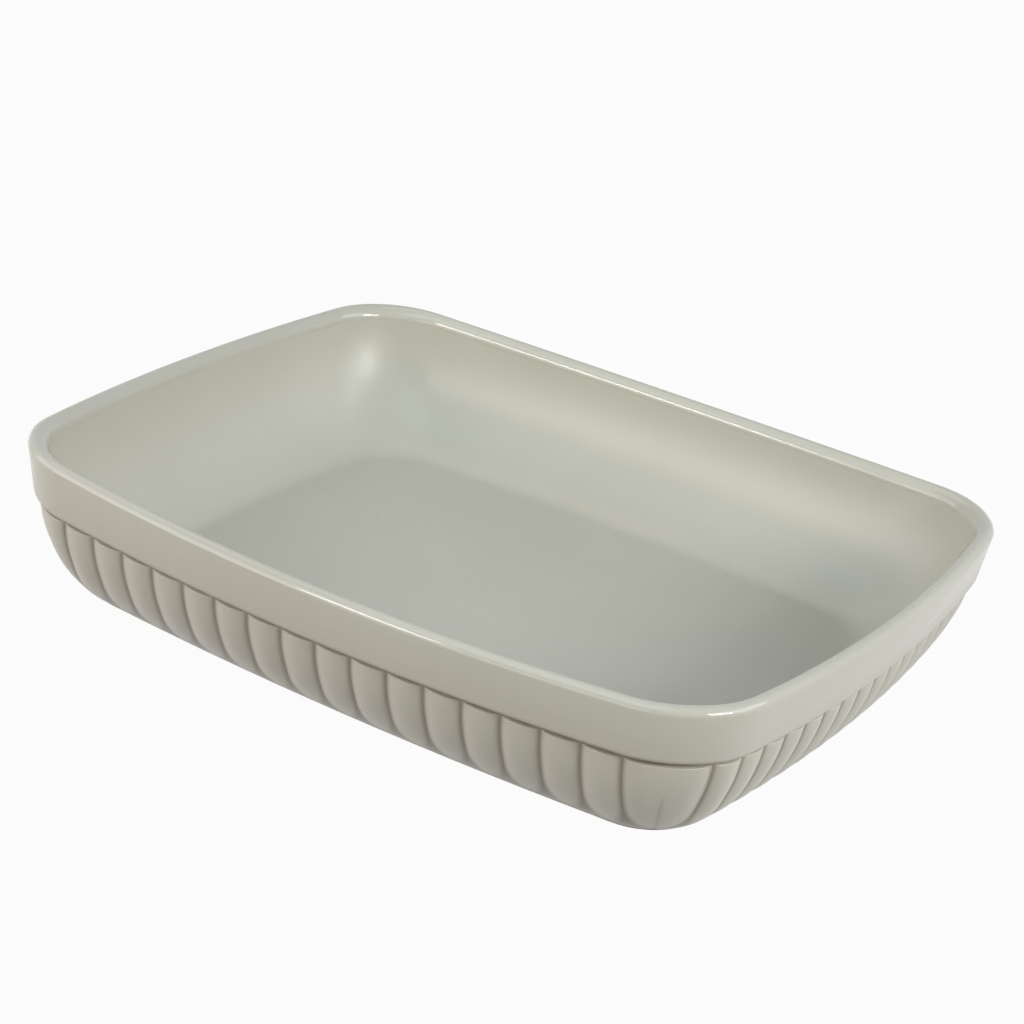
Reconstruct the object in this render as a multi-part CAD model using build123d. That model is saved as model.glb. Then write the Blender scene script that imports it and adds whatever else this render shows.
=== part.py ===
from build123d import *
import os
from math import acos, asin, cos, hypot, pi, sin, tan

# Lasagna dish: one fired clay body with ribbed walls, and the glaze fused onto it.
# Millimetres, +X along the long side, +Z up, origin in the middle of the footprint on the table.

# Overall size, over the plain band
length = 360.0
width = 290.0
rim_height = 63.5

# The rim rises gently from the middle of each side towards the corners
ends_rise = 3.0
sides_rise = 1.0
corners_rise = 2.5

# Plan outline: sides that bow outward and rounded corners, at the rim, the table and the floor
corner_radius = 33.0
base_corner_radius = 20.0
floor_corner_radius = 24.0
long_side_bow = 12.0
short_side_bow = 13.0
base_bow_share = 0.55
floor_bow_share = 0.55

# Lip and plain band round the top
outer_lip_radius = 3.2
inner_lip_radius = 4.6
band_height = 22.4
band_draft = 3.2
band_overhang = 2.4
band_chamfer_height = 1.9
lip_steps = 4

# Ribbed wall under the band, curving in towards the table
wall_inset = 31.0
wall_curve_power = 1.58
wall_steps = 7

# Ribs: rounded pillows between narrow grooves, and one plain panel round each corner.
# The grooves run out above the foot, between two heights.
long_side_ribs = 16
short_side_ribs = 16
long_side_margin = 46.0
short_side_margin = 33.0
groove_depth = 1.8
groove_full_height = 21.0
groove_end_height = 10.5
rib_fullness_share = 0.28
long_groove_base_share = 0.985
short_groove_base_share = 0.87
panel_shoulder = 4.5

# The ribs share out evenly what the margins at the two ends of a side leave
long_rib_pitch = (length - 2 * long_side_margin) / long_side_ribs
short_rib_pitch = (width - 2 * short_side_margin) / short_side_ribs

# Cavity with one large cove between its wall and its floor
floor_top = 8.5
floor_inset = 46.0
cavity_curve_power = 1.75
cavity_steps = 8

# Bare foot, and the glazed recess inside it
foot_height = 1.2
foot_setback = 1.5
foot_width = 7.0
recess_depth = 1.8

# Fired glaze
glaze_thickness = 0.5

# How closely the direction of the outline is probed, as a share of the length and of a radian
probe_share = 0.0001


class Level:
    """One closed ring of the dish: where it lies on the profile, and its plan outline there."""

    def __init__(self, inset, z, radius, bow_share, lift_share, spread_shares, groove=0.0):
        self.inset = inset
        self.z = z
        self.radius = radius
        self.bow_share = bow_share
        self.lift_share = lift_share
        self.spread_shares = spread_shares
        self.groove = groove

    def moved(self, inward, up):
        """The same ring on a parallel skin, further in by one distance and up by another."""
        return Level(
            self.inset + inward,
            self.z + up,
            self.radius - inward,
            self.bow_share,
            self.lift_share,
            self.spread_shares,
            self.groove,
        )

    def half_sizes(self):
        return length / 2 - self.inset, width / 2 - self.inset


class Node:
    """A point of a ring with the unit direction in which the ring runs there."""

    def __init__(self, x, y, run_x, run_y, in_groove):
        self.x = x
        self.y = y
        self.run_x = run_x
        self.run_y = run_y
        self.in_groove = in_groove

    def turned_half(self):
        return Node(-self.x, -self.y, -self.run_x, -self.run_y, self.in_groove)

    def mirrored_back(self):
        return Node(self.x, -self.y, -self.run_x, self.run_y, self.in_groove)

    def at(self, along, outward):
        """Plan position a distance ahead of this point and a distance outside the ring."""
        x = self.x + self.run_x * along + self.run_y * outward
        y = self.y + self.run_y * along - self.run_x * outward
        return x, y


def blend(start, end, share):
    return start + (end - start) * share


# Plan outline

def bowed(level, x, y):
    """Move a point of the straight-sided outline onto the bowed one."""
    half_length, half_width = level.half_sizes()
    end_shift = short_side_bow * level.bow_share / half_length * (y / half_width) ** 2
    side_shift = long_side_bow * level.bow_share / half_width * (x / half_length) ** 2
    return x * (1 - end_shift), y * (1 - side_shift)


def front_point(level, station):
    """Point of the front long side, or of the corner arc after it, at a distance from its middle."""
    half_length, half_width = level.half_sizes()
    along = station / (1 - short_side_bow * level.bow_share / half_length)
    into_arc = max(0.0, abs(along) - (half_length - level.radius))
    drop = level.radius - (level.radius**2 - into_arc**2) ** 0.5
    return bowed(level, along, drop - half_width)


def right_point(level, station):
    """Point of the right short side, or of the corner arc after it, at a distance from its middle."""
    half_length, half_width = level.half_sizes()
    along = station / (1 - long_side_bow * level.bow_share / half_width)
    into_arc = max(0.0, abs(along) - (half_width - level.radius))
    drop = level.radius - (level.radius**2 - into_arc**2) ** 0.5
    return bowed(level, half_length - drop, along)


def corner_point(level, angle):
    """Point of the corner arc between the front side and the right side."""
    half_length, half_width = level.half_sizes()
    x = half_length - level.radius + level.radius * sin(angle)
    y = level.radius - half_width - level.radius * cos(angle)
    return bowed(level, x, y)


def node_on(curve, level, at, step, in_groove):
    x, y = curve(level, at)
    ahead_x, ahead_y = curve(level, at + step)
    back_x, back_y = curve(level, at - step)
    run = hypot(ahead_x - back_x, ahead_y - back_y)
    return Node(x, y, (ahead_x - back_x) / run, (ahead_y - back_y) / run, in_groove)


def side_nodes(curve, level, ribs, pitch):
    """The grooves of one side in order."""
    stations = [(k - ribs / 2) * pitch for k in range(ribs + 1)]
    return [node_on(curve, level, s, probe_share * length, True) for s in stations]


def arc_angle(level, half_along, bow, station):
    """Angle round the corner arc that a station of a side reaches, zero on the straight part."""
    along = station / (1 - bow * level.bow_share / half_along)
    return asin(max(0.0, along - (half_along - level.radius)) / level.radius)


def ring_nodes(level):
    long_spread_share, short_spread_share = level.spread_shares
    front = side_nodes(front_point, level, long_side_ribs, long_rib_pitch * long_spread_share)
    right = side_nodes(right_point, level, short_side_ribs, short_rib_pitch * short_spread_share)
    half_length, half_width = level.half_sizes()
    front_end = long_side_ribs / 2 * long_rib_pitch * long_spread_share
    right_end = short_side_ribs / 2 * short_rib_pitch * short_spread_share
    from_front = arc_angle(level, half_length, short_side_bow, front_end)
    from_right = arc_angle(level, half_width, long_side_bow, right_end)
    middle = (from_front + pi / 2 - from_right) / 2
    corner = node_on(corner_point, level, middle, probe_share, False)
    half = front + [corner] + right + [corner.mirrored_back()]
    return half + [node.turned_half() for node in half]


# Rings in space

def lifted(level, point):
    """The point over a plan position, raised as the rim rises there."""
    x, y = point
    u = (2 * x / length) ** 2
    v = (2 * y / width) ** 2
    rise = ends_rise * u + sides_rise * v + corners_rise * u * v
    return Vector(x, y, level.z + level.lift_share * rise)


def handle_length(start, end):
    """Length of the control handles that make a curve between two nodes follow an arc."""
    chord = hypot(end.x - start.x, end.y - start.y)
    cosine = start.run_x * end.run_x + start.run_y * end.run_y
    turn = acos(max(-1.0, min(1.0, cosine)))
    if turn < probe_share:
        return chord / 3
    return chord * 4 / 3 * tan(turn / 4) / (2 * sin(turn / 2))


def rib_points(start, end, depth):
    """A pillow from one groove to the next, its crown on the outline; plain where they run out."""
    full = hypot(end.x - start.x, end.y - start.y) * rib_fullness_share
    handle = blend(handle_length(start, end), full, depth / groove_depth)
    return [
        start.at(0, -depth),
        start.at(handle, depth / 3),
        end.at(-handle, depth / 3),
        end.at(0, -depth),
    ]


def panel_points(start, end, depth):
    """Half of a corner panel, from its groove to the middle of the corner or back."""
    handle = handle_length(start, end)
    shoulder = blend(handle, panel_shoulder, depth / groove_depth)
    if start.in_groove:
        return [start.at(0, -depth), start.at(shoulder, 0), end.at(-handle, 0), end.at(0, 0)]
    return [start.at(0, 0), start.at(handle, 0), end.at(-shoulder, 0), end.at(0, -depth)]


def ring(level):
    """The closed wire of a level: one cubic curve for each rib and two round each corner."""
    nodes = ring_nodes(level)
    edges = []
    for start, end in zip(nodes, nodes[1:] + nodes[:1]):
        if start.in_groove and end.in_groove:
            points = rib_points(start, end, level.groove)
        else:
            points = panel_points(start, end, level.groove)
        edges.append(Edge.make_bezier(*[lifted(level, point) for point in points]))
    return Wire(edges)


# Profile, from the foot up the outside, over the lip and down the cavity to its floor

def outer_level(inset, z, down_share=0.0, groove=0.0):
    """A ring of the outside; its grooves draw together as the wall goes down."""
    share = inset / wall_inset
    spread_shares = (
        blend(1.0, long_groove_base_share, down_share),
        blend(1.0, short_groove_base_share, down_share),
    )
    return Level(
        inset,
        z,
        blend(corner_radius, base_corner_radius, share),
        blend(1.0, base_bow_share, share),
        z / rim_height,
        spread_shares,
        groove,
    )


def cavity_level(inset, z):
    """A ring of the cavity, which keeps the proportions of the lip's crest."""
    crest = outer_level(outer_lip_radius, rim_height)
    crest_half_length, crest_half_width = crest.half_sizes()
    further_in = inset - crest.inset
    share = further_in / (floor_inset - crest.inset)
    return Level(
        inset,
        z,
        blend(crest.radius, floor_corner_radius, share),
        blend(crest.bow_share, floor_bow_share, share),
        (z - floor_top) / (rim_height - floor_top),
        (1 - further_in / crest_half_length, 1 - further_in / crest_half_width),
    )


def curve_shares(angle, power):
    """How far in and how far down a wall curve has gone at an angle of its quarter turn."""
    return 1 - cos(angle) ** (2 / power), sin(angle) ** (2 / power)


wall_top_inset = band_draft + band_overhang
wall_top_z = rim_height - band_height - band_chamfer_height


def groove_at(z):
    """Depth of the grooves at a height of the ribbed wall."""
    share = (z - groove_end_height) / (groove_full_height - groove_end_height)
    share = max(0.0, min(1.0, share))
    return groove_depth * share**2 * (3 - 2 * share)


def wall_profile():
    """Ribbed wall, from the foot line up to the underside of the band."""
    down_to_foot = 1 - foot_height / wall_top_z
    foot_angle = asin(down_to_foot ** (wall_curve_power / 2))
    rows = []
    for k in range(wall_steps, -1, -1):
        inward, down = curve_shares(foot_angle * k / wall_steps, wall_curve_power)
        inset = blend(wall_top_inset, wall_inset, inward)
        z = wall_top_z * (1 - down)
        rows.append(outer_level(inset, z, inward, groove_at(z)))
    return rows


def band_profile():
    return [
        outer_level(band_draft, rim_height - band_height),
        outer_level(0.0, rim_height - outer_lip_radius),
    ]


def lip_profile():
    """Rounded lip after the band's top edge: the outer quarter, the crest and the inner quarter."""
    rows = []
    for k in range(1, lip_steps + 1):
        angle = pi / 2 * k / lip_steps
        rows.append(
            outer_level(
                outer_lip_radius * (1 - cos(angle)),
                rim_height - outer_lip_radius * (1 - sin(angle)),
            )
        )
    for k in range(1, lip_steps + 1):
        angle = pi / 2 * k / lip_steps
        rows.append(
            cavity_level(
                outer_lip_radius + inner_lip_radius * sin(angle),
                rim_height - inner_lip_radius * (1 - cos(angle)),
            )
        )
    return rows


def cavity_profile():
    """Cavity wall and cove after the lip, down to the edge of the flat floor."""
    wall_inset_at_lip = outer_lip_radius + inner_lip_radius
    wall_z_at_lip = rim_height - inner_lip_radius
    rows = []
    for k in range(1, cavity_steps + 1):
        inward, down = curve_shares(pi / 2 * k / cavity_steps, cavity_curve_power)
        rows.append(
            cavity_level(
                blend(wall_inset_at_lip, floor_inset, inward),
                blend(wall_z_at_lip, floor_top, down),
            )
        )
    return rows


def parallel(rows, depth):
    """The rows of a profile, moved into the clay by a depth square to the profile."""
    moved = []
    for k, row in enumerate(rows):
        before = rows[max(k - 1, 0)]
        after = rows[min(k + 1, len(rows) - 1)]
        before_in, before_up = square_to(before, row) or square_to(row, after)
        after_in, after_up = square_to(row, after) or (0.0, -1.0)
        if after is row:
            before_in, before_up = after_in, after_up
        scale = depth / (1 + before_in * after_in + before_up * after_up)
        moved.append(row.moved(scale * (before_in + after_in), scale * (before_up + after_up)))
    return moved


def square_to(low, high):
    """Unit direction into the clay beside the stretch of the profile between two rows."""
    step_in = high.inset - low.inset
    step_up = high.z - low.z
    run = hypot(step_in, step_up)
    if run == 0:
        return None
    return step_up / run, -step_in / run


# Skins

def skin_faces(depth):
    """Every face of the skin at a depth under the glaze's surface, and its lowest wire."""
    wall = wall_profile()
    band = band_profile()
    lip = lip_profile()
    cavity = cavity_profile()
    wires = [ring(row) for row in parallel(wall + band + lip + cavity, depth)]
    band_start = len(wall)
    lip_start = band_start + len(band) - 1
    cavity_start = lip_start + len(lip)
    shells = [
        Shell.make_loft(wires[:band_start]),
        Shell.make_loft(wires[band_start - 1 : band_start + 1], ruled=True),
        Shell.make_loft(wires[band_start : lip_start + 1], ruled=True),
        Shell.make_loft(wires[lip_start : cavity_start + 1]),
        Shell.make_loft(wires[cavity_start:]),
    ]
    faces = [face for shell in shells for face in shell.faces()]
    faces.append(Face(wires[-1]))
    return faces, wires[0]


def make_solid(faces):
    return Solid(Shell(faces))


# Pieces

def foot_level(inward, z):
    """A flat ring of the foot, a distance inside the line where the glaze ends."""
    foot_line = wall_profile()[0]
    half_length, half_width = foot_line.half_sizes()
    long_share, short_share = foot_line.spread_shares
    level = foot_line.moved(inward, z - foot_line.z)
    level.lift_share = 0.0
    level.spread_shares = (
        long_share * (1 - inward / half_length),
        short_share * (1 - inward / half_width),
    )
    return level


def recess_wire(z):
    return ring(foot_level(foot_setback + foot_width, z))


def make_stoneware_body():
    faces, foot_line = skin_faces(glaze_thickness)
    foot_edge = ring(foot_level(foot_setback, 0.0))
    recess_edge = recess_wire(0.0)
    recess_top = recess_wire(recess_depth)
    faces += Shell.make_loft([foot_line, foot_edge], ruled=True).faces()
    faces.append(Face(foot_edge, [recess_edge]))
    faces += Shell.make_loft([recess_edge, recess_top], ruled=True).faces()
    faces.append(Face(recess_top))
    return make_solid(faces)


def make_glaze_coat():
    outer_faces, outer_edge = skin_faces(0.0)
    inner_faces, inner_edge = skin_faces(glaze_thickness)
    edge_faces = Shell.make_loft([outer_edge, inner_edge], ruled=True).faces()
    return make_solid(outer_faces + inner_faces + edge_faces)


def make_underside_glaze():
    plate = Face(recess_wire(recess_depth - glaze_thickness))
    return Solid.extrude(plate, Vector(0, 0, glaze_thickness))


nodes = {
    "stoneware_body": make_stoneware_body(),
    "glaze_coat": make_glaze_coat(),
    "underside_glaze": make_underside_glaze(),
}

os.makedirs("parts", exist_ok=True)
for name, solid in nodes.items():
    solid.label = name
    export_step(solid, f"parts/{name}.step")
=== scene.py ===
from math import acos, asin, cos, hypot, pi, radians, sin, tan

import bpy
from mathutils import Euler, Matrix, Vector


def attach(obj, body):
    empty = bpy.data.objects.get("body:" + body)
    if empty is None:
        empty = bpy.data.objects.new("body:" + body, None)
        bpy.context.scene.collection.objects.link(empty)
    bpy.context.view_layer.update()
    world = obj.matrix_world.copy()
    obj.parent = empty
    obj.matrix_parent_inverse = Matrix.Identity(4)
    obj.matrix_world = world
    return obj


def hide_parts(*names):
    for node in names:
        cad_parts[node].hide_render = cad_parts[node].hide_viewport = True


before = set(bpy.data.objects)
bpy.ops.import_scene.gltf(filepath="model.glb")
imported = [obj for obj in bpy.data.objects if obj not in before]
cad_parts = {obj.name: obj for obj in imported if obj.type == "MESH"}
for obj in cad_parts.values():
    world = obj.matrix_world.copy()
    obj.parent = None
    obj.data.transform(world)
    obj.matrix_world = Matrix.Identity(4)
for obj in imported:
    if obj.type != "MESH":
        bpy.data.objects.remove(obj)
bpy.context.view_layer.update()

# Lasagna dish in metres, +X along the long side, +Z up, origin in the middle of the footprint

# Overall size, over the plain band
length = 0.360
width = 0.290
rim_height = 0.0635

# The rim rises gently from the middle of each side towards the corners
ends_rise = 0.0030
sides_rise = 0.0010
corners_rise = 0.0025

# Plan outline: sides that bow outward and rounded corners, at the rim, the table and the floor
corner_radius = 0.033
base_corner_radius = 0.020
floor_corner_radius = 0.024
long_side_bow = 0.012
short_side_bow = 0.013
base_bow_share = 0.55
floor_bow_share = 0.55

# Lip and plain band round the top
outer_lip_radius = 0.0032
inner_lip_radius = 0.0046
band_height = 0.0224
band_draft = 0.0032
band_overhang = 0.0024
band_chamfer_height = 0.0019
band_ease_share = 0.42

# Ribbed wall under the band, curving in towards the table
wall_inset = 0.031
wall_curve_power = 1.58
wall_top_inset = band_draft + band_overhang
wall_top_z = rim_height - band_height - band_chamfer_height

# Ribs: rounded pillows between narrow grooves, and one plain panel round each corner.
# They end in round tips above a smooth strip at the foot, and in a narrow channel under the band.
long_side_ribs = 16
short_side_ribs = 16
long_side_margin = 0.046
short_side_margin = 0.033
groove_depth = 0.0018
strip_depth = 0.0005
groove_full_height = 0.0210
rib_round_height = 0.0180
rib_end_height = 0.0028
channel_height = 0.0006
channel_round = 0.0006
rib_power = 2.1
rib_end_power = 2.6
valley_power = 1.15
long_groove_base_share = 0.985
short_groove_base_share = 0.87
panel_shoulder = 0.0090
crease_depth = 0.0006
crease_top_height = 0.0280
crease_full_height = 0.0180
crease_broad_side = 0.0060
crease_narrow_side = 0.0016

# The ribs share out evenly what the margins at the two ends of a side leave
long_rib_pitch = (length - 2 * long_side_margin) / long_side_ribs
short_rib_pitch = (width - 2 * short_side_margin) / short_side_ribs

# Cavity with one large cove between its wall and its floor
floor_top = 0.0085
floor_inset = 0.046
cavity_curve_power = 1.75

# Bare foot, and the glazed recess inside it
foot_height = 0.0012
foot_setback = 0.0015
foot_width = 0.0070
foot_edge_radius = 0.0005
recess_depth = 0.0018
recess_fillet = 0.0009

# Fired glaze, which pools in the grooves up to a share of the crowns' height; the darker tone there is
# partly pooled glaze and partly painted shade.
# It is glossiest over the lip, between two heights.
glaze_thickness = 0.0005
pool_and_shade_crown_share = 0.4
gloss_low_height = 0.0570
gloss_full_height = 0.0605

# Rows of the meshes along the profile. Under the glaze, only one row in so many is kept.
wall_rows = 40
channel_rows = 6
ease_rows = 4
lip_rows = 8
cavity_rows = 34
edge_rows = 5
hidden_row_step = 3

# Points across each rib and each half corner, and rings between a flat face's edge and its middle
rib_shares = [0, 0.025, 0.06, 0.11, 0.18, 0.28, 0.4, 0.5, 0.6, 0.72, 0.82, 0.89, 0.94, 0.975]
panel_shares = [0, 0.03, 0.07, 0.12, 0.2, 0.3, 0.42, 0.55, 0.68, 0.8, 0.89, 0.95, 0.98, 1]
floor_shares = [0.97, 0.9, 0.75, 0.55, 0.35, 0.15, 0.04]

# How closely the direction of the outline is probed, as a share of the length and of a radian
probe_share = 0.0001

# Glaze: two cloudy tones, faint specks, and a darker tone in the grooves, which is partly pooled glaze
# and partly painted shade
glaze_tones = ((0.35, (0.490, 0.480, 0.418, 1)), (0.65, (0.520, 0.510, 0.446, 1)))
glaze_ior = 1.5
cloud_scale = 9.0
speck_tones = ((0.70, (0, 0, 0, 1)), (0.80, (0.35, 0.35, 0.35, 1)))
speck_color = (0.30, 0.27, 0.21, 1)
speck_scale = 420.0
pooled_glaze_and_shade_color = (0.225, 0.200, 0.150, 1)
wall_roughness = 0.35
lip_roughness = 0.06
wave_scale = 55.0
wave_strength = 0.12
wave_height = 0.0006

# Bare clay: two sandy tones
clay_tones = ((0.35, (0.30, 0.26, 0.20, 1)), (0.65, (0.50, 0.45, 0.36, 1)))
clay_roughness = 0.85
clay_specular = 0.3
grain_scale = 900.0
grain_strength = 0.35
grain_height = 0.0002

# Studio: the paper under the dish, how far it shows plain white, and the light of the surroundings
floor_reach = 6.0
floor_color = (0.34, 0.33, 0.32, 1)
floor_roughness = 0.9
floor_white_share = 0.96
white = (1, 1, 1, 1)
ambient_strength = 0.05

# Softboxes, all at one distance from the middle of the dish: name, azimuth from the front towards
# the right and elevation in degrees, width and height in metres, watts, and colour
lamp_distance = 1.5
softboxes = (
    ("strip_softbox", -26, 24, 0.24, 0.3, 2.8, (1.0, 0.97, 0.9)),
    ("low_softbox", -18, 8, 1.8, 0.3, 5.2, (1.0, 0.85, 0.75)),
    ("left_softbox", -54, 19, 1.4, 0.9, 7.4, (1.0, 0.94, 0.9)),
    ("front_softbox", -25, 40, 1.0, 0.8, 1.2, (1.0, 0.94, 0.78)),
    ("right_softbox", 77, 26, 0.5, 0.42, 9.6, (1.0, 0.99, 0.9)),
    ("side_softbox", 105, 30, 1.2, 0.8, 9.4, (0.93, 0.93, 1.0)),
    ("overhead_softbox", -12, 62, 1.2, 0.8, 6.2, (0.6, 0.86, 1.0)),
    ("back_softbox", -120, 60, 0.9, 0.9, 2.8, (1.0, 0.84, 0.7)),
)

# Camera at the photograph's viewing angle, in millimetres, metres and degrees
camera_lens = 92.34
camera_sensor = 36.0
camera_place = (0.5076, -0.8746, 0.5036)
camera_turn = (65.69, -6.731, 33.208)


def blend(start, end, share):
    return start + (end - start) * share


# Plan outline

class Level:
    """One closed ring of the dish: where it lies on the profile, and its plan outline there."""

    def __init__(self, inset, z, radius, bow_share, lift_share, spread_shares):
        self.inset = inset
        self.z = z
        self.radius = radius
        self.bow_share = bow_share
        self.lift_share = lift_share
        self.spread_shares = spread_shares
        self.groove = 0.0
        self.ended_share = 0.0
        self.crease = 0.0

    def moved(self, inward, up):
        """The same ring on a parallel skin, further in by one distance and up by another."""
        level = Level(
            self.inset + inward,
            self.z + up,
            self.radius - inward,
            self.bow_share,
            self.lift_share,
            self.spread_shares,
        )
        level.groove = self.groove
        level.ended_share = self.ended_share
        level.crease = self.crease
        return level

    def half_sizes(self):
        return length / 2 - self.inset, width / 2 - self.inset


def bowed(level, x, y):
    """Move a point of the straight-sided outline onto the bowed one."""
    half_length, half_width = level.half_sizes()
    end_shift = short_side_bow * level.bow_share / half_length * (y / half_width) ** 2
    side_shift = long_side_bow * level.bow_share / half_width * (x / half_length) ** 2
    return x * (1 - end_shift), y * (1 - side_shift)


def front_point(level, station):
    """Point of the front long side, or of the corner arc after it, at a distance from its middle."""
    half_length, half_width = level.half_sizes()
    along = station / (1 - short_side_bow * level.bow_share / half_length)
    into_arc = max(0.0, abs(along) - (half_length - level.radius))
    drop = level.radius - (level.radius**2 - into_arc**2) ** 0.5
    return bowed(level, along, drop - half_width)


def right_point(level, station):
    """Point of the right short side, or of the corner arc after it, at a distance from its middle."""
    half_length, half_width = level.half_sizes()
    along = station / (1 - long_side_bow * level.bow_share / half_width)
    into_arc = max(0.0, abs(along) - (half_width - level.radius))
    drop = level.radius - (level.radius**2 - into_arc**2) ** 0.5
    return bowed(level, half_length - drop, along)


def corner_point(level, angle):
    """Point of the corner arc between the front side and the right side."""
    half_length, half_width = level.half_sizes()
    x = half_length - level.radius + level.radius * sin(angle)
    y = level.radius - half_width - level.radius * cos(angle)
    return bowed(level, x, y)


class Node:
    """A point of a ring with the unit direction in which the ring runs there."""

    def __init__(self, x, y, run_x, run_y, in_groove):
        self.x = x
        self.y = y
        self.run_x = run_x
        self.run_y = run_y
        self.in_groove = in_groove

    def turned_half(self):
        return Node(-self.x, -self.y, -self.run_x, -self.run_y, self.in_groove)

    def mirrored_back(self):
        return Node(self.x, -self.y, -self.run_x, self.run_y, self.in_groove)

    def at(self, along, outward):
        """Plan position a distance ahead of this point and a distance outside the ring."""
        x = self.x + self.run_x * along + self.run_y * outward
        y = self.y + self.run_y * along - self.run_x * outward
        return x, y


def node_on(curve, level, at, step, in_groove):
    x, y = curve(level, at)
    ahead_x, ahead_y = curve(level, at + step)
    back_x, back_y = curve(level, at - step)
    run = hypot(ahead_x - back_x, ahead_y - back_y)
    return Node(x, y, (ahead_x - back_x) / run, (ahead_y - back_y) / run, in_groove)


def side_nodes(curve, level, ribs, pitch):
    """The grooves of one side in order."""
    stations = [(k - ribs / 2) * pitch for k in range(ribs + 1)]
    return [node_on(curve, level, s, probe_share * length, True) for s in stations]


def arc_angle(level, half_along, bow, station):
    """Angle round the corner arc that a station of a side reaches, zero on the straight part."""
    along = station / (1 - bow * level.bow_share / half_along)
    return asin(max(0.0, along - (half_along - level.radius)) / level.radius)


def ring_nodes(level):
    long_spread_share, short_spread_share = level.spread_shares
    front = side_nodes(front_point, level, long_side_ribs, long_rib_pitch * long_spread_share)
    right = side_nodes(right_point, level, short_side_ribs, short_rib_pitch * short_spread_share)
    half_length, half_width = level.half_sizes()
    front_end = long_side_ribs / 2 * long_rib_pitch * long_spread_share
    right_end = short_side_ribs / 2 * short_rib_pitch * short_spread_share
    from_front = arc_angle(level, half_length, short_side_bow, front_end)
    from_right = arc_angle(level, half_width, long_side_bow, right_end)
    middle = (from_front + pi / 2 - from_right) / 2
    corner = node_on(corner_point, level, middle, probe_share, False)
    half = front + [corner] + right + [corner.mirrored_back()]
    return half + [node.turned_half() for node in half]


# Rings in space

def lifted(level, x, y):
    """The point over a plan position, raised as the rim rises there."""
    u = (2 * x / length) ** 2
    v = (2 * y / width) ** 2
    rise = ends_rise * u + sides_rise * v + corners_rise * u * v
    return x, y, level.z + level.lift_share * rise


def handle_length(start, end):
    """Length of the control handles that make a curve between two nodes follow an arc."""
    chord = hypot(end.x - start.x, end.y - start.y)
    cosine = start.run_x * end.run_x + start.run_y * end.run_y
    turn = acos(max(-1.0, min(1.0, cosine)))
    if turn < probe_share:
        return chord / 3
    return chord * 4 / 3 * tan(turn / 4) / (2 * sin(turn / 2))


def curve_between(start, end):
    """The control points of the plain outline between two nodes."""
    handle = handle_length(start, end)
    return [start.at(0, 0), start.at(handle, 0), end.at(-handle, 0), end.at(0, 0)]


def curve_at(points, share):
    """Point of a cubic curve, from its four control points, and its outward direction."""
    rest = 1 - share
    weights = (rest**3, 3 * rest**2 * share, 3 * rest * share**2, share**3)
    x = sum(weight * point[0] for weight, point in zip(weights, points))
    y = sum(weight * point[1] for weight, point in zip(weights, points))
    steps = [(b[0] - a[0], b[1] - a[1]) for a, b in zip(points, points[1:])]
    weights = (rest**2, 2 * rest * share, share**2)
    run_x = sum(weight * step[0] for weight, step in zip(weights, steps))
    run_y = sum(weight * step[1] for weight, step in zip(weights, steps))
    run = hypot(run_x, run_y)
    return x, y, run_y / run, -run_x / run


def relief(level, beside_share):
    """Depth of the surface under the outline, and the darker tone of pooled glaze and painted shade, at
    a share of the way to a groove.
    """
    crown = 1 - beside_share**rib_power - level.ended_share**rib_end_power
    crown = max(0.0, crown) ** valley_power
    # The darker tone rises where the crown drops away: partly pooled glaze, partly painted shade in the
    # grooves, on the strip at the foot and under the band.
    pool_and_shade = max(0.0, 1 - crown / pool_and_shade_crown_share) * min(1.0, level.groove / strip_depth)
    return level.groove * (1 - crown), pool_and_shade


def rib_stretch(level):
    """Share along, depth and darker tone of pooled glaze and painted shade of the points of one rib."""
    return [(share, *relief(level, abs(2 * share - 1))) for share in rib_shares]


def panel_stretch(level, start, end):
    """The same for half of a corner panel, from its groove to the middle of the corner or back."""
    chord = hypot(end.x - start.x, end.y - start.y)
    side = crease_broad_side if start.in_groove else crease_narrow_side
    points = []
    for share in panel_shares:
        depth, pool_and_shade = relief(level, max(0.0, 1 - share * chord / panel_shoulder))
        crease_share = max(0.0, 1 - (1 - share) * chord / side) ** 2
        depth += crease_share * level.crease
        # Painted shade along the crease: the glaze darkens as the crease deepens.
        pool_and_shade += crease_share**2 * level.crease / groove_depth
        points.append((share, depth, pool_and_shade))
    if start.in_groove:
        return points[:-1]
    return [(1 - share, depth, pool_and_shade) for share, depth, pool_and_shade in points[:0:-1]]


def ring(level):
    """The points of a level, and how much pooled glaze and painted shade darken each of them."""
    nodes = ring_nodes(level)
    points = []
    pool_and_shade_values = []
    for start, end in zip(nodes, nodes[1:] + nodes[:1]):
        controls = curve_between(start, end)
        if start.in_groove and end.in_groove:
            stretch = rib_stretch(level)
        else:
            stretch = panel_stretch(level, start, end)
        for share, depth, pool_and_shade in stretch:
            x, y, out_x, out_y = curve_at(controls, share)
            points.append(lifted(level, x - depth * out_x, y - depth * out_y))
            pool_and_shade_values.append(pool_and_shade)
    return points, pool_and_shade_values


# Profile, from the foot up the outside, over the lip and down the cavity to its floor

def outer_level(inset, z, down_share=0.0):
    """A ring of the outside; its grooves draw together as the wall goes down."""
    share = inset / wall_inset
    spread_shares = (
        blend(1.0, long_groove_base_share, down_share),
        blend(1.0, short_groove_base_share, down_share),
    )
    return Level(
        inset,
        z,
        blend(corner_radius, base_corner_radius, share),
        blend(1.0, base_bow_share, share),
        z / rim_height,
        spread_shares,
    )


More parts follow.
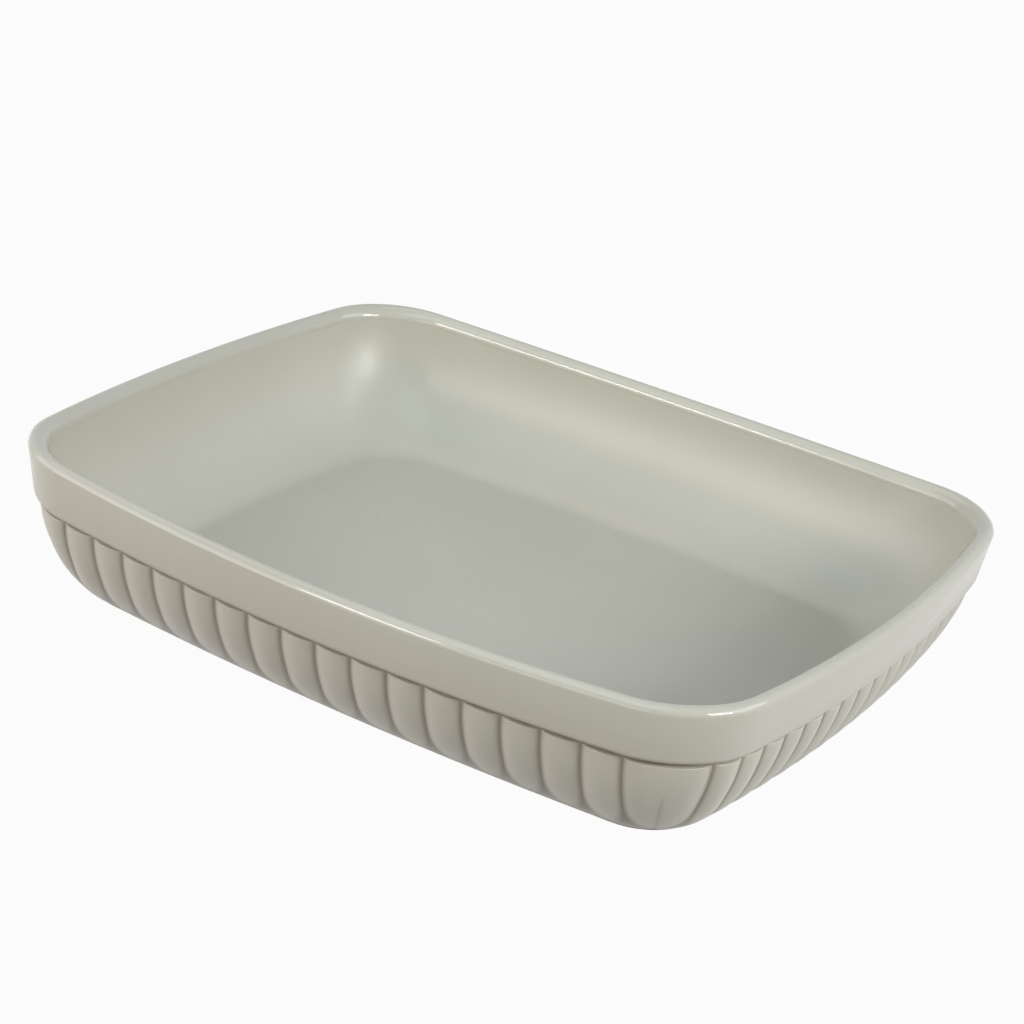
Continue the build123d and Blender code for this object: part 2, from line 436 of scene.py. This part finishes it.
def cavity_level(inset, z):
    """A ring of the cavity, which keeps the proportions of the lip's crest."""
    crest = outer_level(outer_lip_radius, rim_height)
    crest_half_length, crest_half_width = crest.half_sizes()
    further_in = inset - crest.inset
    share = further_in / (floor_inset - crest.inset)
    return Level(
        inset,
        z,
        blend(crest.radius, floor_corner_radius, share),
        blend(crest.bow_share, floor_bow_share, share),
        (z - floor_top) / (rim_height - floor_top),
        (1 - further_in / crest_half_length, 1 - further_in / crest_half_width),
    )


def curve_shares(angle, power):
    """How far in and how far down a wall curve has gone at an angle of its quarter turn."""
    return 1 - cos(angle) ** (2 / power), sin(angle) ** (2 / power)


def ramp(value, zero, one):
    """A share that goes smoothly from zero to one between two values."""
    share = max(0.0, min(1.0, (value - zero) / (one - zero)))
    return share**2 * (3 - 2 * share)


def wall_at(down):
    """Inset, height and share of the way in at a share of the way down the ribbed wall."""
    inward = 1 - cos(asin(down ** (wall_curve_power / 2))) ** (2 / wall_curve_power)
    return blend(wall_top_inset, wall_inset, inward), wall_top_z * (1 - down), inward


def wall_levels():
    """Rows of the ribbed wall, closer together where the ribs end under the band."""
    down_to_foot = 1 - foot_height / wall_top_z
    foot_angle = asin(down_to_foot ** (wall_curve_power / 2))
    downs = [curve_shares(foot_angle * k / wall_rows, wall_curve_power)[1] for k in range(wall_rows + 1)]
    top_end = channel_height + channel_round
    downs += [top_end / wall_top_z * (k + 0.5) / channel_rows for k in range(channel_rows)]
    rows = []
    for down in sorted(downs, reverse=True):
        inset, z, inward = wall_at(down)
        row = outer_level(inset, z, inward)
        # The groove depth here also sets the darker tone: painted shade on the strip at the foot and in
        # the channel under the band.
        row.groove = blend(strip_depth, groove_depth, ramp(z, rib_end_height, groove_full_height))
        past_low = (rib_round_height - z) / (rib_round_height - rib_end_height)
        past_top = (z + top_end - wall_top_z) / channel_round
        row.ended_share = max(0.0, past_low, past_top)
        row.crease = crease_depth * ramp(z, crease_top_height, crease_full_height)
        row.crease *= ramp(z, 0.0, rib_end_height)
        rows.append(row)
    return rows


def eased(before, corner, after):
    """Rows that round off a corner of the profile between two rows beside it."""
    rows = []
    for k in range(ease_rows + 1):
        share = k / ease_rows
        first = [blend(a, b, share) for a, b in zip(before, corner)]
        second = [blend(a, b, share) for a, b in zip(corner, after)]
        rows.append([blend(a, b, share) for a, b in zip(first, second)])
    return rows


def band_levels():
    """The soft underside of the plain band, and the band up to the lip."""
    wall_top = (wall_top_inset, wall_top_z, groove_depth)
    band_foot = (band_draft, rim_height - band_height, 0.0)
    band_top = (0.0, rim_height - outer_lip_radius, 0.0)
    under = [blend(a, b, 1 - band_ease_share) for a, b in zip(wall_top, band_foot)]
    over_share = band_chamfer_height / band_height
    over = [blend(a, b, over_share) for a, b in zip(band_foot, band_top)]
    rows = []
    for inset, z, groove in eased(under, band_foot, over) + [band_top]:
        row = outer_level(inset, z)
        # With the crowns ended, the groove depth sinks the surface and darkens it with painted shade
        # under the band's overhang.
        row.groove = groove
        row.ended_share = 1.0
        rows.append(row)
    return rows


def lip_profile():
    """Rounded lip after the band's top edge: the outer quarter, the crest and the inner quarter."""
    rows = []
    for k in range(1, lip_rows + 1):
        angle = pi / 2 * k / lip_rows
        rows.append(
            outer_level(
                outer_lip_radius * (1 - cos(angle)),
                rim_height - outer_lip_radius * (1 - sin(angle)),
            )
        )
    for k in range(1, lip_rows + 1):
        angle = pi / 2 * k / lip_rows
        rows.append(
            cavity_level(
                outer_lip_radius + inner_lip_radius * sin(angle),
                rim_height - inner_lip_radius * (1 - cos(angle)),
            )
        )
    return rows


def cavity_profile():
    """Cavity wall and cove after the lip, down to the edge of the flat floor."""
    wall_inset_at_lip = outer_lip_radius + inner_lip_radius
    wall_z_at_lip = rim_height - inner_lip_radius
    rows = []
    for k in range(1, cavity_rows + 1):
        inward, down = curve_shares(pi / 2 * k / cavity_rows, cavity_curve_power)
        rows.append(
            cavity_level(
                blend(wall_inset_at_lip, floor_inset, inward),
                blend(wall_z_at_lip, floor_top, down),
            )
        )
    return rows


def square_to(low, high):
    """Unit direction into the clay beside the stretch of the profile between two rows."""
    step_in = high.inset - low.inset
    step_up = high.z - low.z
    run = hypot(step_in, step_up)
    return step_up / run, -step_in / run


def parallel(rows, depth):
    """The rows of a profile, moved into the clay by a depth square to the profile."""
    moved = []
    for k, row in enumerate(rows):
        before_in, before_up = square_to(rows[max(k - 1, 0)], rows[max(k, 1)])
        if k + 1 < len(rows):
            after_in, after_up = square_to(row, rows[k + 1])
        else:
            after_in, after_up = 0.0, -1.0
        scale = depth / (1 + before_in * after_in + before_up * after_up)
        moved.append(row.moved(scale * (before_in + after_in), scale * (before_up + after_up)))
    return moved


# Meshes

class Skin:
    """Rings of points joined row by row into one mesh."""

    def __init__(self):
        self.points = []
        self.pool_and_shade_values = []
        self.glosses = []
        self.faces = []
        self.count = 0

    def add_ring(self, points, pool_and_shade_values=None, gloss=0.0):
        """Adds a closed ring and returns the number of its first point."""
        first = len(self.points)
        self.count = len(points)
        self.points += points
        self.pool_and_shade_values += pool_and_shade_values or [0.0] * len(points)
        self.glosses += [gloss] * len(points)
        return first

    def join(self, low, high):
        """Joins two rings; their order decides which way the faces look."""
        count = self.count
        for k in range(count):
            after = (k + 1) % count
            self.faces.append((low + k, low + after, high + after, high + k))

    def fill(self, edge, shares, flipped=False):
        """Closes a flat ring with smaller rings towards its middle."""
        count = self.count
        outer = self.points[edge : edge + count]
        last = edge
        for share in shares:
            inner = self.add_ring([(x * share, y * share, z) for x, y, z in outer])
            if flipped:
                self.join(inner, last)
            else:
                self.join(last, inner)
            last = inner
        cap = list(range(last, last + count))
        self.faces.append(tuple(reversed(cap)) if flipped else tuple(cap))

    def turn_over(self):
        self.faces = [tuple(reversed(face)) for face in self.faces]

    def to_object(self, name):
        mesh = bpy.data.meshes.new(name)
        mesh.from_pydata(self.points, [], self.faces)
        for label, values in (("pool_and_shade", self.pool_and_shade_values), ("gloss", self.glosses)):
            attribute = mesh.attributes.new(label, "FLOAT", "POINT")
            attribute.data.foreach_set("value", values)
        mesh.polygons.foreach_set("use_smooth", [True] * len(mesh.polygons))
        mesh.update()
        piece = bpy.data.objects.new(name, mesh)
        bpy.context.scene.collection.objects.link(piece)
        return piece


def gloss_at(z):
    return ramp(z, gloss_low_height, gloss_full_height)


def add_rows(skin, rows):
    """Adds the rings of the rows and joins them upwards; returns the first and the last ring."""
    firsts = [skin.add_ring(*ring(row), gloss_at(row.z)) for row in rows]
    for low, high in zip(firsts, firsts[1:]):
        skin.join(low, high)
    return firsts[0], firsts[-1]


def glazed_rows():
    """The surface of the glaze, from the line where it ends over the lip to the floor."""
    return wall_levels() + band_levels() + lip_profile() + cavity_profile()


def hidden_rows(depth):
    """The skin at a depth under the glaze's surface, with fewer rows, from the foot to the floor."""
    rows = parallel(glazed_rows(), depth)
    return rows[::hidden_row_step] + rows[-1:]


def make_glaze_coat():
    skin = Skin()
    first, last = add_rows(skin, glazed_rows())
    skin.fill(last, floor_shares)
    inner_floor, inner_foot = add_rows(skin, hidden_rows(glaze_thickness)[::-1])
    skin.fill(inner_floor, floor_shares, flipped=True)
    skin.join(inner_foot, first)
    return skin.to_object("glaze_coat_surface")


def foot_level(inward, z):
    """A flat ring of the foot, a distance inside the line where the glaze ends."""
    foot_line = wall_levels()[0]
    half_length, half_width = foot_line.half_sizes()
    long_share, short_share = foot_line.spread_shares
    level = foot_line.moved(inward, z - foot_line.z)
    level.lift_share = 0.0
    level.groove = 0.0
    level.crease = 0.0
    level.spread_shares = (
        long_share * (1 - inward / half_length),
        short_share * (1 - inward / half_width),
    )
    return level


def rounded(inward, z, turn_inward, turn_z, radius):
    """Rows of a quarter round between a flat stretch and an upright one of the foot.

    The two turns say how many radii an angle of the quarter goes inward and upward.
    """
    rows = []
    for k in range(edge_rows + 1):
        angle = pi / 2 * k / edge_rows
        rows.append(foot_level(inward + turn_inward(angle) * radius, z + turn_z(angle) * radius))
    return rows


def make_stoneware_body():
    """The clay under the glaze, with its bare foot ring and the recess inside it."""
    outer = foot_setback
    inner = foot_setback + foot_width
    up_from_table = rounded(outer, 0.0, lambda a: 1 - cos(a), lambda a: 1 - sin(a), foot_edge_radius)
    into_recess = rounded(inner - foot_edge_radius, 0.0, sin, lambda a: 1 - cos(a), foot_edge_radius)
    foot = up_from_table + into_recess + [foot_level(inner, recess_depth)]
    skin = Skin()
    floor_ring, line_ring = add_rows(skin, hidden_rows(glaze_thickness)[::-1])
    skin.fill(floor_ring, floor_shares, flipped=True)
    rings = [line_ring] + [skin.add_ring(*ring(row)) for row in foot]
    for high, low in zip(rings, rings[1:]):
        skin.join(high, low)
    skin.fill(rings[-1], floor_shares)
    skin.turn_over()
    return skin.to_object("stoneware_body_surface")


def make_underside_glaze():
    """The glaze in the recess, which climbs its wall a little."""
    edge = foot_setback + foot_width
    face_z = recess_depth - glaze_thickness
    rows = [foot_level(edge, recess_depth)]
    rows += rounded(edge, face_z - recess_fillet, lambda a: 1 - cos(a), sin, recess_fillet)
    skin = Skin()
    top, face = add_rows(skin, rows)
    skin.fill(face, floor_shares)
    skin.fill(top, floor_shares, flipped=True)
    skin.turn_over()
    return skin.to_object("underside_glaze_surface")


# Materials

def new_material(name):
    material = bpy.data.materials.new(name)
    material.use_nodes = True
    tree = material.node_tree
    return material, tree.nodes, tree.links


def noise(nodes, links, scale, detail):
    """Noise in the object's own coordinates, so that it doesn't slide or stretch."""
    place = nodes.new("ShaderNodeTexCoord")
    texture = nodes.new("ShaderNodeTexNoise")
    texture.inputs["Scale"].default_value = scale
    texture.inputs["Detail"].default_value = detail
    links.new(place.outputs["Object"], texture.inputs["Vector"])
    return texture


def read_attribute(nodes, name):
    reader = nodes.new("ShaderNodeAttribute")
    reader.attribute_name = name
    return reader.outputs["Fac"]


def mapped(nodes, links, source, low, high):
    """A share from zero to one, stretched to run between two values."""
    stretch = nodes.new("ShaderNodeMapRange")
    stretch.inputs["To Min"].default_value = low
    stretch.inputs["To Max"].default_value = high
    links.new(source, stretch.inputs["Value"])
    return stretch.outputs["Result"]


def color_ramp(nodes, links, source, stops):
    """Colours between two stops, each a position and the colour there."""
    tone = nodes.new("ShaderNodeValToRGB")
    for element, (position, color) in zip(tone.color_ramp.elements, stops):
        element.position = position
        element.color = color
    links.new(source, tone.inputs["Fac"])
    return tone.outputs["Color"]


def mixed(nodes, links, share, first, second):
    """A first colour, covered by a share of a plain second one."""
    mix = nodes.new("ShaderNodeMix")
    mix.data_type = "RGBA"
    mix.inputs["B"].default_value = second
    links.new(share, mix.inputs["Factor"])
    links.new(first, mix.inputs["A"])
    return mix.outputs["Result"]


def add_bump(nodes, links, texture, strength, height):
    """Small unevenness of the surface, after a texture."""
    bump = nodes.new("ShaderNodeBump")
    bump.inputs["Strength"].default_value = strength
    bump.inputs["Distance"].default_value = height
    links.new(texture.outputs["Fac"], bump.inputs["Height"])
    links.new(bump.outputs["Normal"], nodes["Principled BSDF"].inputs["Normal"])


def make_glaze_material():
    """A satin putty glaze: cloudy, faintly speckled, darker where it pools and where shade is painted
    into the grooves, glossier on the lip.
    """
    material, nodes, links = new_material("putty_glaze")
    shader = nodes["Principled BSDF"]
    shader.inputs["IOR"].default_value = glaze_ior
    clouds = noise(nodes, links, cloud_scale, 3.0)
    cloudy = color_ramp(nodes, links, clouds.outputs["Fac"], glaze_tones)
    specks = noise(nodes, links, speck_scale, 2.0)
    speck_share = color_ramp(nodes, links, specks.outputs["Fac"], speck_tones)
    speckled = mixed(nodes, links, speck_share, cloudy, speck_color)
    # Painted shade: the grooves, the strip at the foot, the channel under the band and the crease get a
    # darker tone, partly pooled glaze and partly shade.
    pooled_and_shaded = mixed(nodes, links, read_attribute(nodes, "pool_and_shade"), speckled, pooled_glaze_and_shade_color)
    links.new(pooled_and_shaded, shader.inputs["Base Color"])
    gloss = read_attribute(nodes, "gloss")
    roughness = mapped(nodes, links, gloss, wall_roughness, lip_roughness)
    links.new(roughness, shader.inputs["Roughness"])
    waves = noise(nodes, links, wave_scale, 2.0)
    add_bump(nodes, links, waves, wave_strength, wave_height)
    return material


def make_clay_material():
    """Bare fired clay: sandy, matt and a little uneven."""
    material, nodes, links = new_material("bare_clay")
    shader = nodes["Principled BSDF"]
    shader.inputs["Roughness"].default_value = clay_roughness
    shader.inputs["Specular IOR Level"].default_value = clay_specular
    grains = noise(nodes, links, grain_scale, 3.0)
    sandy = color_ramp(nodes, links, grains.outputs["Fac"], clay_tones)
    links.new(sandy, shader.inputs["Base Color"])
    add_bump(nodes, links, grains, grain_strength, grain_height)
    return material


# Studio

def background_rays(nodes, links):
    """One for the rays that show the white background: seen, mirrored or through glass."""
    rays = nodes.new("ShaderNodeLightPath")
    mirrored = nodes.new("ShaderNodeMath")
    mirrored.operation = "MAXIMUM"
    through = nodes.new("ShaderNodeMath")
    through.operation = "MAXIMUM"
    links.new(rays.outputs["Is Camera Ray"], mirrored.inputs[0])
    links.new(rays.outputs["Is Glossy Ray"], mirrored.inputs[1])
    links.new(mirrored.outputs[0], through.inputs[0])
    links.new(rays.outputs["Is Transmission Ray"], through.inputs[1])
    return through.outputs[0]


def make_floor():
    """Paper that shows nearly plain white and still keeps the shadow of the dish."""
    mesh = bpy.data.meshes.new("studio_floor")
    signs = ((-1, -1), (1, -1), (1, 1), (-1, 1))
    corners = [(x_sign * floor_reach, y_sign * floor_reach, 0) for x_sign, y_sign in signs]
    mesh.from_pydata(corners, [], [(0, 1, 2, 3)])
    floor = bpy.data.objects.new("studio_floor", mesh)
    bpy.context.scene.collection.objects.link(floor)
    material, nodes, links = new_material("studio_paper")
    shader = nodes["Principled BSDF"]
    shader.inputs["Base Color"].default_value = floor_color
    shader.inputs["Roughness"].default_value = floor_roughness
    shader.inputs["Specular IOR Level"].default_value = 0.0
    glow = nodes.new("ShaderNodeEmission")
    white_part = nodes.new("ShaderNodeMath")
    white_part.operation = "MULTIPLY"
    white_part.inputs[1].default_value = floor_white_share
    mix = nodes.new("ShaderNodeMixShader")
    links.new(background_rays(nodes, links), white_part.inputs[0])
    links.new(white_part.outputs[0], mix.inputs["Fac"])
    links.new(shader.outputs["BSDF"], mix.inputs[1])
    links.new(glow.outputs["Emission"], mix.inputs[2])
    links.new(mix.outputs["Shader"], nodes["Material Output"].inputs["Surface"])
    mesh.materials.append(material)


def make_softbox(name, azimuth, elevation, wide, high, power, color):
    """A softbox that stands at the lamps' distance and is aimed at the middle of the dish."""
    across = lamp_distance * cos(radians(elevation))
    place = Vector(
        (
            across * sin(radians(azimuth)),
            -across * cos(radians(azimuth)),
            lamp_distance * sin(radians(elevation)),
        )
    )
    lamp = bpy.data.lights.new(name, "AREA")
    lamp.shape = "RECTANGLE"
    lamp.size = wide
    lamp.size_y = high
    lamp.energy = power
    lamp.color = color
    box = bpy.data.objects.new(name, lamp)
    box.location = place
    box.rotation_euler = (-place).to_track_quat("-Z", "Y").to_euler()
    bpy.context.scene.collection.objects.link(box)


def make_world():
    """Dim even light on the dish, and plain white where the background itself shows."""
    world = bpy.data.worlds.new("studio")
    world.use_nodes = True
    nodes = world.node_tree.nodes
    links = world.node_tree.links
    ambient = nodes["Background"]
    ambient.inputs["Color"].default_value = white
    ambient.inputs["Strength"].default_value = ambient_strength
    backdrop = nodes.new("ShaderNodeBackground")
    backdrop.inputs["Color"].default_value = white
    mix = nodes.new("ShaderNodeMixShader")
    links.new(background_rays(nodes, links), mix.inputs["Fac"])
    links.new(ambient.outputs["Background"], mix.inputs[1])
    links.new(backdrop.outputs["Background"], mix.inputs[2])
    links.new(mix.outputs["Shader"], nodes["World Output"].inputs["Surface"])
    bpy.context.scene.world = world


def make_camera():
    camera = bpy.data.cameras.new("camera")
    camera.lens = camera_lens
    camera.sensor_width = camera_sensor
    holder = bpy.data.objects.new("camera", camera)
    holder.location = camera_place
    holder.rotation_euler = Euler([radians(angle) for angle in camera_turn])
    bpy.context.scene.collection.objects.link(holder)
    bpy.context.scene.camera = holder


glaze = make_glaze_material()
clay = make_clay_material()

pieces = (
    (make_glaze_coat(), "glaze_coat", "glaze", glaze),
    (make_stoneware_body(), "stoneware_body", "bare_stoneware", clay),
    (make_underside_glaze(), "underside_glaze", "glaze", glaze),
)
for piece, node, slot, material in pieces:
    piece.data.materials.append(material)
    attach(piece, "root")
    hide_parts(node)

make_floor()
make_world()
for softbox in softboxes:
    make_softbox(*softbox)
make_camera()

bpy.context.scene.view_settings.view_transform = "Standard"
